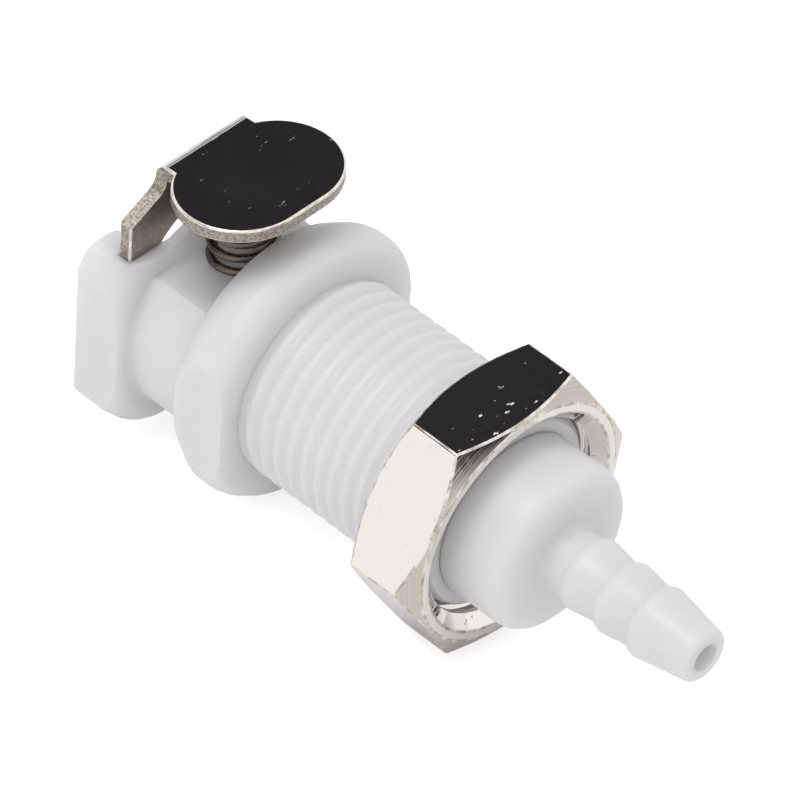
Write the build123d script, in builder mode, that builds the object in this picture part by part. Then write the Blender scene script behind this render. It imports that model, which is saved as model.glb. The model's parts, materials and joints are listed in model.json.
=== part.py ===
from build123d import *

import math
import os

# Panel-mount quick disconnect coupling body: a moulded acetal socket with a stamped thumb latch,
# a spring-loaded flow valve, a threaded shank with its panel nut, and a hose barb.
# The flow axis lies along X with the hose barb towards +X, the thumb pad is up, along +Z,
# and the panel face of the flange is X = 0. Sizes are in millimetres.

# ---- clearances ----
slide_clear = 0.05      # latch plate in its slot, each side
running_clear = 0.05    # round pieces that turn or slide in a bore, radially
seal_clear = 0.01       # seal to its cone when the valve is shut

# ---- moulded body ----
flange_radius = 8.65
flange_thickness = 3.8
flange_front_bevel = (1.6, 1.0)    # along and across the flow axis
flange_back_bevel = (0.95, 0.6)
flange_ease = 0.25      # softening of the bevels' edges
side_flat = 7.55        # half width across the flats of the flange
neck_radius = 6.65
neck_length = 4.5       # from the collar to the flange
neck_fillet = 0.7       # at the flange
collar_fillet = 0.4
collar_radius = 8.8
collar_thickness = 3.7
collar_top_cut = 2.8    # depth of the flats on the collar
collar_bottom_cut = 2.15
collar_side_cut = 1.25
collar_front_edge = 0.35
collar_back_round = 1.6
collar_corner = 0.8
horn_corner = 1.5       # at the top, beside the notch
slot_back_wall = 0.85   # collar wall behind the latch slot
thread_radius = 6.35    # crest radius of the shank's thread
shank_length = 15.0
shank_chamfer = 0.4
saddle_height = 4.7     # flat on top of the neck that seats the latch spring
post_radius = 1.4       # moulded guide post inside the latch spring
post_top = 8.2
socket_radius = 4.15    # bore that takes the mating insert
socket_depth = 8.5
nose_well_radius = 3.2  # narrower end of the socket, round the poppet's nose
nose_well_depth = 2.3
valve_port_radius = 2.3
seat_land = 1.6         # cylindrical part of the valve port
chamber_radius = 3.7
spigot_radius = 4.6
spigot_length = 5.0

# ---- barbed termination ----
end_radius = 5.25
end_length = 4.6
end_round = 1.0
stem_radius = 2.03
stem_fillet = 0.7
barb_radius = 2.33
barb_pitch = 2.5
barb_count = 3
first_barb = 1.9        # from the end face to the first ridge
barb_lead = 0.3         # length of the steep back of each ridge
tip_radius = 1.72
tip_length = 3.9
tip_round = 0.35
hose_bore_radius = 0.9
throat_radius = 2.4
throat_depth = 2.2      # how far the wide bore runs past the spigot

# ---- panel nut ----
nut_across_flats = 15.88
nut_thickness = 5.0
nut_engagement = 3.9    # length of thread inside the nut
nut_turn = 28.6         # degrees from +Z towards +Y of one corner
nut_chamfer_angle = 30.0
nut_face_radius = 7.75  # outer edge of the flat ring on each face
nut_land = 0.6          # width of that ring

# ---- thumb latch ----
sheet = 0.9
plate_half_width = 5.92
plate_bottom_radius = 7.75
aperture_clear = 0.2
aperture_rise = 3.1     # height of the upper arc's centre over the flow axis
shoulder_height = 8.42
shoulder_slope = 28.0   # degrees, of the slanted shoulders
neck_half_width = 3.2
latch_neck_fillet = 1.0
bend_radius = 1.0       # outside radius of the bend
pad_height = 11.4       # top of the pad at the bend
pad_rise = 4.4          # degrees that the pad climbs towards its free edge
pad_end_radius = 3.95
pad_half_straight = 1.35
pad_centre = 4.0        # from the latch's rear face to the middle of the pad
latch_travel = 1.5

# ---- latch pin ----
pin_radius = 0.55
pin_neck_radius = 0.3
pin_drop = 5.35         # pin axis below the flow axis
pin_travel = 0.9
pin_nose = 0.9          # how far the pin stands out of the mouth
pin_body_length = 2.8
pin_cone_angle = 60.0   # half angle of the cone that locks the latch
pin_spring_length = 2.5

# ---- valve ----
seal_wire = 0.5         # section radius of the seal
seal_radius = 2.5       # centre-line radius of the seal
groove_clear = 0.03
groove_radius = 2.0
nose_radius = 1.6
nose_reach = 2.4        # how far the nose stands out of the valve port
poppet_head_radius = 3.1
poppet_head = 1.0
fin_count = 4
fin_thickness = 0.9
fin_length = 2.4
tail_radius = 1.1
tail_length = 3.0

# ---- springs: mean radius, wire radius, turns ----
latch_coil = (1.86, 0.27, 5)
latch_coil_turn = 190.0 # degrees from +X to the lower end of its wire
pin_coil = (0.38, 0.1, 5)
valve_coil = (2.9, 0.22, 4)

# ---- stations along the flow axis ----
flange_front = -flange_thickness
collar_back = flange_front - neck_length
mouth = collar_back - collar_thickness
collar_top = collar_radius - collar_top_cut
collar_bottom = collar_radius - collar_bottom_cut
collar_side = collar_radius - collar_side_cut
slot_back = collar_back - slot_back_wall
plate_back = slot_back - slide_clear
plate_front = plate_back - sheet
slot_front = plate_front - slide_clear
socket_end = mouth + socket_depth
port_start = socket_end + nose_well_depth
seat_start = port_start + seat_land
chamber_start = seat_start + chamber_radius - valve_port_radius
spigot_start = shank_length - spigot_length
nut_stand_off = shank_length - nut_engagement
end_face = shank_length + end_length
last_barb = end_face + first_barb + (barb_count - 1) * barb_pitch
barb_tip = last_barb + tip_length
latch_spring_x = collar_back + sum(latch_coil[:2]) + running_clear
pin_back = plate_back + pin_body_length
pin_hole_radius = pin_radius + running_clear
pin_hole_end = pin_back + pin_spring_length
slot_half_width = plate_half_width + slide_clear
beyond = 1.0            # overshoot of cutting tools

os.makedirs("parts", exist_ok=True)


def rounding(centre, radius, start, end, steps=4):
    """Points along an arc from one angle to another, in degrees from the first sketch axis."""
    angles = [math.radians(start + (end - start) * step / steps) for step in range(steps + 1)]
    return [(centre[0] + radius * math.cos(a), centre[1] + radius * math.sin(a)) for a in angles]


def eased(points, ease):
    """The points with every corner but the first and last cut off at a short distance from it."""
    softened = [points[0]]
    for before, corner, after in zip(points, points[1:], points[2:]):
        for other in (before, after):
            share = ease / math.dist(corner, other)
            softened.append(tuple(c + (o - c) * share for c, o in zip(corner, other)))
    return softened + [points[-1]]


def coil(mean_radius, wire_radius, length, turns):
    """Compression spring of six-sided wire on the local Z axis, standing between 0 and length."""
    rise = length - 2 * wire_radius
    with BuildPart() as spring:
        with BuildLine():
            centre_line = Helix(rise / turns, rise, mean_radius, center=(0, 0, wire_radius))
        with BuildSketch(Plane(centre_line @ 0, z_dir=centre_line % 0)):
            RegularPolygon(wire_radius, 6)
        sweep(path=centre_line, is_frenet=True)
    return spring.part


# ---- collar of the coupling body: a turned disc with flats, whose front wall has a U-shaped notch ----
with BuildPart() as collar:
    with BuildSketch(Plane.YZ.offset(slot_front)) as back_outline:
        Circle(collar_radius)
        with Locations((0, (collar_top - collar_bottom) / 2)):
            Rectangle(2 * collar_side, collar_top + collar_bottom, mode=Mode.INTERSECT)
        fillet(back_outline.vertices().group_by(Axis.Y)[0], collar_corner)
        fillet(back_outline.vertices().group_by(Axis.Y)[-1], horn_corner)
    extrude(amount=collar_back - slot_front)
    with BuildSketch(Plane.YZ.offset(mouth)) as front_outline:
        add(back_outline.sketch_local)
        with Locations((0, collar_top / 2)):
            Rectangle(2 * socket_radius, collar_top, mode=Mode.SUBTRACT)
        horns = front_outline.vertices().group_by(Axis.Y)[-1].sort_by(lambda v: abs(v.X))
        fillet(horns[:2], collar_corner)
    extrude(amount=slot_front - mouth)
    rim = collar.edges().filter_by(
        lambda e: all(abs(v.Y) > socket_radius + collar_corner / 2 for v in e.vertices()))
    chamfer(rim.filter_by_position(Axis.X, mouth, mouth), collar_front_edge)
    with BuildSketch(Plane.XZ):
        with BuildLine():
            Polyline(
                (mouth, 0),
                (mouth, collar_radius),
                *rounding((collar_back - collar_back_round, collar_radius - collar_back_round),
                          collar_back_round, 90, 0),
                (collar_back, 0),
                close=True,
            )
        make_face()
    revolve(axis=Axis.X, mode=Mode.INTERSECT)

# ---- coupling body ----
with BuildPart() as coupling_body:
    # neck, flange and shank in one turned form
    with BuildSketch(Plane.XZ):
        with BuildLine():
            Polyline(
                (shank_length - shank_chamfer, thread_radius),
                *eased([
                    (0, thread_radius),
                    (0, flange_radius - flange_back_bevel[1]),
                    (-flange_back_bevel[0], flange_radius),
                    (flange_front + flange_front_bevel[0], flange_radius),
                    (flange_front, flange_radius - flange_front_bevel[1]),
                    (flange_front, neck_radius + neck_fillet),
                ], flange_ease)[:-1],
                *rounding((flange_front - neck_fillet, neck_radius + neck_fillet),
                          neck_fillet, 0, -90),
                *rounding((collar_back + collar_fillet, neck_radius + collar_fillet),
                          collar_fillet, -90, -180),
                (slot_back, neck_radius),
                (slot_back, 0),
                (shank_length, 0),
                (shank_length, thread_radius - shank_chamfer),
                close=True,
            )
        make_face()
    revolve(axis=Axis.X)
    # flats on both sides of the flange
    for side in (-1, 1):
        with Locations((flange_front / 2, side * (side_flat + flange_radius / 2), 0)):
            Box(flange_thickness + 2 * neck_fillet, flange_radius, 3 * flange_radius,
                mode=Mode.SUBTRACT)
    # saddle flat across the top of the neck
    with Locations((collar_back, 0, saddle_height)):
        Box(neck_length, 3 * neck_radius, neck_radius,
            align=(Align.MIN, Align.CENTER, Align.MIN), mode=Mode.SUBTRACT)
    # the flat underside of the collar carries on across the fillet behind it
    with Locations((collar_back, 0, -collar_bottom)):
        Box(collar_fillet, 2 * neck_radius, neck_radius,
            align=(Align.MIN, Align.CENTER, Align.MAX), mode=Mode.SUBTRACT)
    add(collar.part)
    # guide post of the latch spring
    with BuildSketch(Plane.XY.offset(saddle_height)):
        with Locations((latch_spring_x, 0)):
            Circle(post_radius)
    extrude(amount=post_top - saddle_height)
    # latch slot, socket bore, nose well, valve port, seat cone, valve chamber and spigot bore
    with Locations(((slot_front + slot_back) / 2, 0, 0)):
        Box(slot_back - slot_front, 2 * slot_half_width, 4 * collar_radius, mode=Mode.SUBTRACT)
    with BuildSketch(Plane.XZ):
        with BuildLine():
            Polyline(
                (mouth - beyond, 0),
                (mouth - beyond, socket_radius),
                (socket_end, socket_radius),
                (socket_end, nose_well_radius),
                (port_start, nose_well_radius),
                (port_start, valve_port_radius),
                (seat_start, valve_port_radius),
                (chamber_start, chamber_radius),
                (spigot_start, chamber_radius),
                (spigot_start, spigot_radius),
                (shank_length + beyond, spigot_radius),
                (shank_length + beyond, 0),
                close=True,
            )
        make_face()
    revolve(axis=Axis.X, mode=Mode.SUBTRACT)
    # blind hole of the latch pin, drilled from the mouth
    with BuildSketch(Plane.YZ.offset(mouth - beyond)):
        with Locations((0, -pin_drop)):
            Circle(pin_hole_radius)
    extrude(amount=pin_hole_end - mouth + beyond, mode=Mode.SUBTRACT)
coupling_body.part.label = "coupling_body"
export_step(coupling_body.part, "parts/coupling_body.step")

# ---- barbed termination ----
with BuildPart() as barb_termination:
    with BuildSketch(Plane.XZ):
        with BuildLine():
            Polyline(
                (spigot_start, throat_radius),
                (spigot_start, spigot_radius),
                (shank_length, spigot_radius),
                (shank_length, end_radius),
                *rounding((end_face - end_round, end_radius - end_round), end_round, 90, 0),
                *rounding((end_face + stem_fillet, stem_radius + stem_fillet), stem_fillet, 180, 270),
            )
            foot = (end_face + stem_fillet, stem_radius)
            for barb in range(barb_count):
                ridge_x = end_face + first_barb + barb * barb_pitch
                Line(foot, (ridge_x - barb_lead, stem_radius))
                Line((ridge_x - barb_lead, stem_radius), (ridge_x, barb_radius))
                if barb < barb_count - 1:
                    foot = (ridge_x + barb_pitch - 2 * barb_lead, stem_radius)
                    Line((ridge_x, barb_radius), foot)
            Polyline(
                (last_barb, barb_radius),
                *rounding((barb_tip - tip_round, tip_radius - tip_round), tip_round, 90, 0, 3),
                (barb_tip, hose_bore_radius),
                (shank_length + throat_depth + throat_radius - hose_bore_radius, hose_bore_radius),
                (shank_length + throat_depth, throat_radius),
                (spigot_start, throat_radius),
            )
        make_face()
    revolve(axis=Axis.X)
barb_termination.part.label = "barb_termination"
export_step(barb_termination.part, "parts/barb_termination.step")

# ---- panel nut ----
nut_bore_radius = thread_radius + running_clear
nut_flat_radius = nut_across_flats / 2
countersink_radius = nut_face_radius - nut_land
with BuildPart() as panel_nut:
    with BuildSketch(Plane.YZ.offset(nut_stand_off)):
        RegularPolygon(nut_flat_radius, 6, major_radius=False, rotation=90 - nut_turn)
        Circle(nut_bore_radius, mode=Mode.SUBTRACT)
    extrude(amount=nut_thickness)
    corner_radius = nut_flat_radius / math.cos(math.radians(30))
    chamfer_depth = (corner_radius - nut_face_radius) * math.tan(math.radians(nut_chamfer_angle))
    sink_depth = countersink_radius - nut_bore_radius
    with BuildSketch(Plane.XZ) as envelope:
        with BuildLine():
            Polyline(
                (nut_stand_off, countersink_radius),
                (nut_stand_off, nut_face_radius),
                (nut_stand_off + chamfer_depth, corner_radius),
                (nut_stand_off + nut_thickness - chamfer_depth, corner_radius),
                (nut_stand_off + nut_thickness, nut_face_radius),
                (nut_stand_off + nut_thickness, countersink_radius),
                (nut_stand_off + nut_thickness - sink_depth, nut_bore_radius),
                (nut_stand_off + sink_depth, nut_bore_radius),
                close=True,
            )
        make_face()
    revolve(axis=Axis.X, mode=Mode.INTERSECT)
panel_nut.part.label = "panel_nut"
export_step(panel_nut.part, "parts/panel_nut.step")

# ---- thumb latch ----
pad_angle = math.radians(pad_rise)
bend_centre = (plate_front + bend_radius, pad_height - bend_radius)
pad_reach = pad_centre + pad_end_radius
inner_bend = bend_radius - sheet
pad_middle = plate_back + pad_centre


def around_bend(radius, angle):
    """Point at an angle, counted from +Z towards -X, on an arc about the centre of the bend."""
    return (bend_centre[0] - radius * math.sin(angle), bend_centre[1] + radius * math.cos(angle))


def along_pad(start, length):
    """Point that lies a length along the climbing pad from a start point."""
    return (start[0] + length * math.cos(pad_angle), start[1] + length * math.sin(pad_angle))


with BuildPart() as latch_outline:
    # the plate, seen along the flow axis
    shoulder_top = shoulder_height + (plate_half_width - neck_half_width) * math.tan(
        math.radians(shoulder_slope))
    plate_corner = -math.sqrt(plate_bottom_radius**2 - plate_half_width**2)
    with BuildSketch(Plane.YZ.offset(plate_front - beyond)) as plate_face:
        with BuildLine():
            Polyline(
                (plate_half_width, plate_corner),
                (plate_half_width, shoulder_height),
                (neck_half_width, shoulder_top),
                (neck_half_width, pad_height + beyond),
                (-neck_half_width, pad_height + beyond),
                (-neck_half_width, shoulder_top),
                (-plate_half_width, shoulder_height),
                (-plate_half_width, plate_corner),
            )
            RadiusArc((plate_half_width, plate_corner), (-plate_half_width, plate_corner),
                      plate_bottom_radius)
        make_face()
        roots = plate_face.vertices().filter_by(
            lambda v: abs(v.Y - shoulder_top) < 0.01 and abs(v.X) < plate_half_width - 0.1)
        fillet(roots, latch_neck_fillet)
        with Locations((0, aperture_rise / 2)):
            SlotCenterToCenter(aperture_rise, 2 * (socket_radius + aperture_clear), rotation=90,
                               mode=Mode.SUBTRACT)
        # keyhole of the pin: a round hole that passes the pin, over a slot for its neck
        with Locations((0, -pin_drop)):
            Circle(pin_hole_radius, mode=Mode.SUBTRACT)
        with Locations((0, -pin_drop - latch_travel / 2)):
            SlotCenterToCenter(latch_travel, 2 * (pin_neck_radius + running_clear), rotation=90,
                               mode=Mode.SUBTRACT)
    extrude(amount=beyond + bend_radius + slide_clear)
    # the pad, seen from above
    with BuildSketch(Plane.XY.offset(pad_height - bend_radius)):
        with Locations((pad_middle, 0)):
            SlotCenterToCenter(2 * pad_half_straight, 2 * pad_end_radius, rotation=90)
        with Locations((plate_back, 0)):
            Rectangle(pad_centre, 2 * neck_half_width, align=(Align.MIN, Align.CENTER))
    extrude(amount=3 * bend_radius)

with BuildPart() as thumb_latch:
    # the folded sheet, seen from the side
    with BuildSketch(Plane.XZ):
        with BuildLine():
            outer_end = around_bend(bend_radius, pad_angle)
            inner_end = around_bend(inner_bend, pad_angle)
            Line((plate_front, -plate_bottom_radius - beyond), (plate_front, bend_centre[1]))
            RadiusArc((plate_front, bend_centre[1]), outer_end, bend_radius)
            Polyline(
                outer_end,
                along_pad(outer_end, pad_reach + beyond),
                along_pad(inner_end, pad_reach + beyond),
                inner_end,
            )
            RadiusArc(inner_end, (plate_back, bend_centre[1]), -inner_bend)
            Polyline(
                (plate_back, bend_centre[1]),
                (plate_back, -plate_bottom_radius - beyond),
                (plate_front, -plate_bottom_radius - beyond),
            )
        make_face()
    extrude(amount=plate_half_width + beyond, both=True)
    add(latch_outline.part, mode=Mode.INTERSECT)
thumb_latch.part.label = "thumb_latch"
export_step(thumb_latch.part, "parts/thumb_latch.step")

# ---- latch pin: a spool with a coned shoulder that sits in the latch's keyhole ----
cone_length = (pin_radius - pin_neck_radius) / math.tan(math.radians(pin_cone_angle))
head_back = slot_front - pin_travel - slide_clear
with BuildPart() as latch_pin:
    with BuildSketch(Plane.XZ.shift_origin((0, 0, -pin_drop))):
        with BuildLine():
            Polyline(
                (mouth - pin_nose, 0),
                (mouth - pin_nose, pin_neck_radius),
                (mouth - pin_nose + pin_radius - pin_neck_radius, pin_radius),
                (head_back, pin_radius),
                (head_back, pin_neck_radius),
                (plate_back - cone_length, pin_neck_radius),
                (plate_back, pin_radius),
                (pin_back, pin_radius),
                (pin_back, 0),
                close=True,
            )
        make_face()
    revolve(axis=Axis((0, 0, -pin_drop), (1, 0, 0)))
latch_pin.part.label = "latch_pin"
export_step(latch_pin.part, "parts/latch_pin.step")

# ---- valve poppet ----
cone_touch = (seal_wire + seal_clear) * math.sqrt(2)
seal_x = seat_start + seal_radius - valve_port_radius + cone_touch
groove_front = seal_x - seal_wire - groove_clear
groove_back = seal_x + seal_wire + groove_clear
head_end = groove_back + poppet_head
fin_end = head_end + fin_length
with BuildPart() as valve_poppet:
    with BuildSketch(Plane.XZ):
        with BuildLine():
            Polyline(
                (port_start - nose_reach, 0),
                (port_start - nose_reach, nose_radius),
                (groove_front, nose_radius),
                (groove_front, groove_radius),
                (groove_back, groove_radius),
                (groove_back, poppet_head_radius),
                (head_end, poppet_head_radius),
                (head_end, tail_radius),
                (fin_end + tail_length, tail_radius),
                (fin_end + tail_length, 0),
                close=True,
            )
        make_face()
    revolve(axis=Axis.X)
    with BuildSketch(Plane.YZ.offset(head_end)):
        with PolarLocations(0, fin_count):
            Rectangle(chamber_radius - running_clear, fin_thickness,
                      align=(Align.MIN, Align.CENTER))
        Circle(chamber_radius - running_clear, mode=Mode.INTERSECT)
    extrude(amount=fin_length)
valve_poppet.part.label = "valve_poppet"
export_step(valve_poppet.part, "parts/valve_poppet.step")

with BuildPart() as valve_seal:
    with BuildSketch(Plane.XZ):
        with Locations((seal_x, seal_radius)):
            RegularPolygon(seal_wire, 8, rotation=22.5)
    revolve(axis=Axis.X)
valve_seal.part.label = "valve_seal"
export_step(valve_seal.part, "parts/valve_seal.step")

# ---- springs ----
spring_top = along_pad(around_bend(inner_bend, pad_angle),
                       latch_spring_x - sum(latch_coil[:2]) - bend_centre[0])[1]
latch_spring_length = spring_top - saddle_height
with BuildPart() as latch_spring:
    with Locations(Location((latch_spring_x, 0, saddle_height), (0, 0, latch_coil_turn))):
        add(coil(*latch_coil[:2], latch_spring_length, latch_coil[2]))
latch_spring.part.label = "latch_spring"
export_step(latch_spring.part, "parts/latch_spring.step")

with BuildPart() as pin_spring:
    with Locations(Location((pin_back, 0, -pin_drop), (0, 90, 0))):
        add(coil(*pin_coil[:2], pin_spring_length, pin_coil[2]))
pin_spring.part.label = "pin_spring"
export_step(pin_spring.part, "parts/pin_spring.step")

with BuildPart() as valve_spring:
    with Locations(Location((fin_end, 0, 0), (0, 90, 0))):
        add(coil(*valve_coil[:2], spigot_start - fin_end, valve_coil[2]))
valve_spring.part.label = "valve_spring"
export_step(valve_spring.part, "parts/valve_spring.step")
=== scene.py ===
"""Looks of a panel-mount quick disconnect coupling: the moulded acetal body with its screw thread,
the plated panel nut, the folded thumb latch, the flow valve and the round-wire springs.

Every length is written in millimetres and turned to metres where a mesh is filled. The flow axis is
X, with the hose barb towards +X, and the thumb pad is up, along +Z.
"""

import json
import logging
import math
from dataclasses import dataclass, field
from enum import Enum, IntEnum
from typing import Any, Callable, Dict, Optional, Sequence, Tuple

import bmesh
import bpy
import numpy as np
from mathutils import Matrix, Vector

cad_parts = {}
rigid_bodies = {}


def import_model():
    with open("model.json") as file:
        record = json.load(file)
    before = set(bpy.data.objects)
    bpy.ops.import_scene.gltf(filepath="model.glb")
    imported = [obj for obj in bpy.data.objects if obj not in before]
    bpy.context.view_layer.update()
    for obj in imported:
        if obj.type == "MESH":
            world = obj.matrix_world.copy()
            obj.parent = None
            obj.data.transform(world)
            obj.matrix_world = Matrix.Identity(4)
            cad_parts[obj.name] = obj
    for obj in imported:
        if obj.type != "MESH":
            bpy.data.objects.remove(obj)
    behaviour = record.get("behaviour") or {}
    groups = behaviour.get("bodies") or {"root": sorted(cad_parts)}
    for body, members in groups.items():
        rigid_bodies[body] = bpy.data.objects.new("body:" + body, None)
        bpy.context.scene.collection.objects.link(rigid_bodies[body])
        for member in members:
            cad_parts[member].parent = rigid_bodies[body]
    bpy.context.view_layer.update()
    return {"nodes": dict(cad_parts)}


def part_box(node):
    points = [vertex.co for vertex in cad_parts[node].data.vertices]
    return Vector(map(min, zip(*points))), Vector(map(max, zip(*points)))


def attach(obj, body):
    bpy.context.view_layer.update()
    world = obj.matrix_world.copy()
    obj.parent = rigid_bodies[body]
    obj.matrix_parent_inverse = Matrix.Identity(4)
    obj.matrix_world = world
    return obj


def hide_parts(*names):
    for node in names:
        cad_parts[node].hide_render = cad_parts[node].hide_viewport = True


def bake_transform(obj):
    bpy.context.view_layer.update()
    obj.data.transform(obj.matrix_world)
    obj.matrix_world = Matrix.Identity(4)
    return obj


LOG = logging.getLogger("coupling")
MM = 0.001
WELD = 2e-6  # metres: points nearer than this are welded to one
SLIVER = 1e-7  # metres: edges shorter than this are taken out
NEAR = 2e-5  # metres: places nearer than this count as the same
FLAT = math.radians(1.0)  # faces that meet at less than this belong to one flat
Vec3 = Tuple[float, float, float]


class Body(str, Enum):
    """The moving bodies that the pieces ride on."""

    BODY = "body"
    LATCH = "latch"
    PIN = "pin"
    VALVE = "valve"
    NUT = "nut"


class NutSlot(IntEnum):
    """Material slots of the panel nut."""

    PLATE = 0
    CHAMFER = 1
    RIM = 2


class LatchSlot(IntEnum):
    """Material slots of the thumb latch."""

    POLISHED = 0
    TUMBLED = 1
    SHEARED = 2
    # rounded outlines of the sheet, in a brighter cream tone: a painted highlight
    RIM = 3


# ---------------------------------------------------------------------------------- mesh helpers

def linear(hex_colour: str) -> Tuple[float, float, float, float]:
    """Turns an sRGB hex colour to linear light, by the standard's straight foot and power curve.

    Args:
        hex_colour: six hex digits after a hash sign.

    Returns:
        Linear red, green and blue, with alpha 1.
    """
    parts = [int(hex_colour[i:i + 2], 16) / 255 for i in (1, 3, 5)]
    lin = [p / 12.92 if p <= 0.04045 else ((p + 0.055) / 1.055) ** 2.4 for p in parts]
    return (lin[0], lin[1], lin[2], 1.0)


def mesh_object(name: str, points: np.ndarray, faces: np.ndarray) -> bpy.types.Object:
    """Makes an object at the origin from points in millimetres.

    Args:
        name: object and mesh name.
        points: array of shape (n, 3), in millimetres.
        faces: array of quads or triangles, of shape (m, 3) or (m, 4).

    Returns:
        The linked object.
    """
    mesh = bpy.data.meshes.new(name)
    mesh.from_pydata((points * MM).tolist(), [], faces.tolist())
    mesh.update()
    obj = bpy.data.objects.new(name, mesh)
    bpy.context.scene.collection.objects.link(obj)
    return obj


def grid_faces(rows: int, columns: int) -> np.ndarray:
    """Quads between the rings of a grid, where each ring closes on itself.

    The quad at ring i and place j joins the points at (i, j), (i, j + 1), (i + 1, j + 1) and
    (i + 1, j), with places counted modulo the columns. A point's index is i * columns + j.

    Args:
        rows: number of rings.
        columns: points in each ring.

    Returns:
        Array of quads, of shape ((rows - 1) * columns, 4).
    """
    i, j = np.meshgrid(np.arange(rows - 1), np.arange(columns), indexing="ij")
    k, m = i + 1, (j + 1) % columns
    quads = np.stack([i * columns + j, i * columns + m, k * columns + m, k * columns + j], -1)
    return quads.reshape(-1, 4)


def smooth(obj: bpy.types.Object, angle: float = 35.0) -> None:
    """Shades an object smooth, with edges sharper than an angle left crisp.

    Args:
        obj: the object.
        angle: in degrees, between the faces of an edge.
    """
    mesh = obj.data
    bm = bmesh.new()
    bm.from_mesh(mesh)
    limit = math.radians(angle)
    for face in bm.faces:
        face.smooth = True
    for edge in bm.edges:
        edge.smooth = not (edge.is_manifold and edge.calc_face_angle(0.0) > limit)
    bm.to_mesh(mesh)
    bm.free()
    mesh.update()


def round_edges(obj: bpy.types.Object, width: float, segments: int,
                choose: Callable[[bmesh.types.BMEdge], bool]) -> bpy.types.BevelModifier:
    """Rounds chosen edges of a piece with a Bevel modifier, by their bevel weight.

    The width isn't clamped, because the short edges of a thread would clamp it to nothing.

    Args:
        obj: the object.
        width: in millimetres.
        segments: facets across the rounding.
        choose: True for an edge to round. It is asked about edges between two faces.

    Returns:
        The modifier.
    """
    bm = bmesh.new()
    bm.from_mesh(obj.data)
    weight = bm.edges.layers.float.new("bevel_weight_edge")
    count = 0
    for edge in bm.edges:
        if len(edge.link_faces) == 2 and choose(edge):
            edge[weight] = 1.0
            count += 1
    bm.to_mesh(obj.data)
    bm.free()
    LOG.info("%s: %d edges rounded", obj.name, count)
    rounding = obj.modifiers.new("edge_rounding", "BEVEL")
    rounding.width = width * MM
    rounding.segments = segments
    rounding.limit_method = "WEIGHT"
    rounding.use_clamp_overlap = False
    return rounding


def merged_copy(node: bpy.types.Object) -> bmesh.types.BMesh:
    """A welded copy of a CAD mesh, without its slivers.

    Args:
        node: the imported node.

    Returns:
        The copy as a BMesh in metres.
    """
    bm = bmesh.new()
    bm.from_mesh(node.data)
    bmesh.ops.remove_doubles(bm, verts=bm.verts, dist=WELD)
    bmesh.ops.dissolve_degenerate(bm, edges=bm.edges, dist=SLIVER)
    LOG.info("%s: welded copy of %d faces", node.name, len(bm.faces))
    return bm


def join_flats(bm: bmesh.types.BMesh) -> None:
    """Joins the triangles of each flat to one face.

    Args:
        bm: the welded copy.
    """
    bmesh.ops.dissolve_limit(bm, angle_limit=FLAT, verts=bm.verts, edges=bm.edges)


def join_sleeve(bm: bmesh.types.BMesh, points: np.ndarray, quads: np.ndarray,
                ends: Tuple[float, float]) -> None:
    """Puts a sleeve in the place of a plain surface that was cut out, and closes both seams.

    Args:
        bm: the opened piece, in metres.
        points: of the sleeve, in millimetres.
        quads: of the sleeve.
        ends: places of the two seams along the flow axis, in metres.
    """
    sleeve = bpy.data.meshes.new("sleeve")
    sleeve.from_pydata((points * MM).tolist(), [], quads.tolist())
    bm.from_mesh(sleeve)
    bpy.data.meshes.remove(sleeve)
    for x in ends:
        seam = [e for e in bm.edges if e.is_boundary
                and all(abs(v.co.x - x) < NEAR for v in e.verts)]
        bmesh.ops.bridge_loops(bm, edges=seam)
    bmesh.ops.recalc_face_normals(bm, faces=bm.faces)
    open_edges = sum(1 for e in bm.edges if not e.is_manifold)
    LOG.info("with its sleeve: %d faces, %d open edges", len(bm.faces), open_edges)


def to_object(bm: bmesh.types.BMesh, name: str) -> bpy.types.Object:
    """Turns a BMesh into a linked object at the origin and frees it.

    Args:
        bm: the filled BMesh, in metres.
        name: object and mesh name.

    Returns:
        The object.
    """
    mesh = bpy.data.meshes.new(name)
    bm.to_mesh(mesh)
    bm.free()
    obj = bpy.data.objects.new(name, mesh)
    bpy.context.scene.collection.objects.link(obj)
    return obj


# ------------------------------------------------------------------------------------- materials

def add(tree: bpy.types.NodeTree, kind: str, settings: Optional[Dict[Any, Any]] = None,
        **links: Any) -> bpy.types.Node:
    """Adds a node, sets its properties and sockets, and links it.

    Args:
        tree: the node tree.
        kind: Blender's node type name.
        settings: properties and sockets by name, or by number for a socket. A socket given as
            a value is linked.
        links: socket name, with underscores for spaces, to an output socket that feeds it.

    Returns:
        The node.
    """
    node = tree.nodes.new(kind)
    for key, value in (settings or {}).items():
        if isinstance(value, bpy.types.NodeSocket):
            tree.links.new(value, node.inputs[key])
        elif isinstance(key, str) and hasattr(node, key) and key not in node.inputs:
            setattr(node, key, value)
        else:
            node.inputs[key].default_value = value
    for key, source in links.items():
        tree.links.new(source, node.inputs[key.replace("_", " ")])
    return node


@dataclass(frozen=True)
class Finish:
    """A procedural finish on the principled shader."""

    name: str
    base: str
    roughness: float
    metallic: float = 0.0

    def start(self) -> Tuple[bpy.types.Material, bpy.types.NodeTree, bpy.types.Node]:
        """An empty material with a principled shader wired to its output.

        Returns:
            Material, its tree and the shader node.
        """
        material = bpy.data.materials.new(self.name)
        material.use_nodes = True
        tree = material.node_tree
        tree.nodes.clear()
        shader = add(tree, "ShaderNodeBsdfPrincipled", {
            "Base Color": linear(self.base), "Roughness": self.roughness,
            "Metallic": self.metallic})
        add(tree, "ShaderNodeOutputMaterial", Surface=shader.outputs["BSDF"])
        return material, tree, shader

    def make(self) -> bpy.types.Material:
        """The finished material."""
        return self.start()[0]


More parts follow.
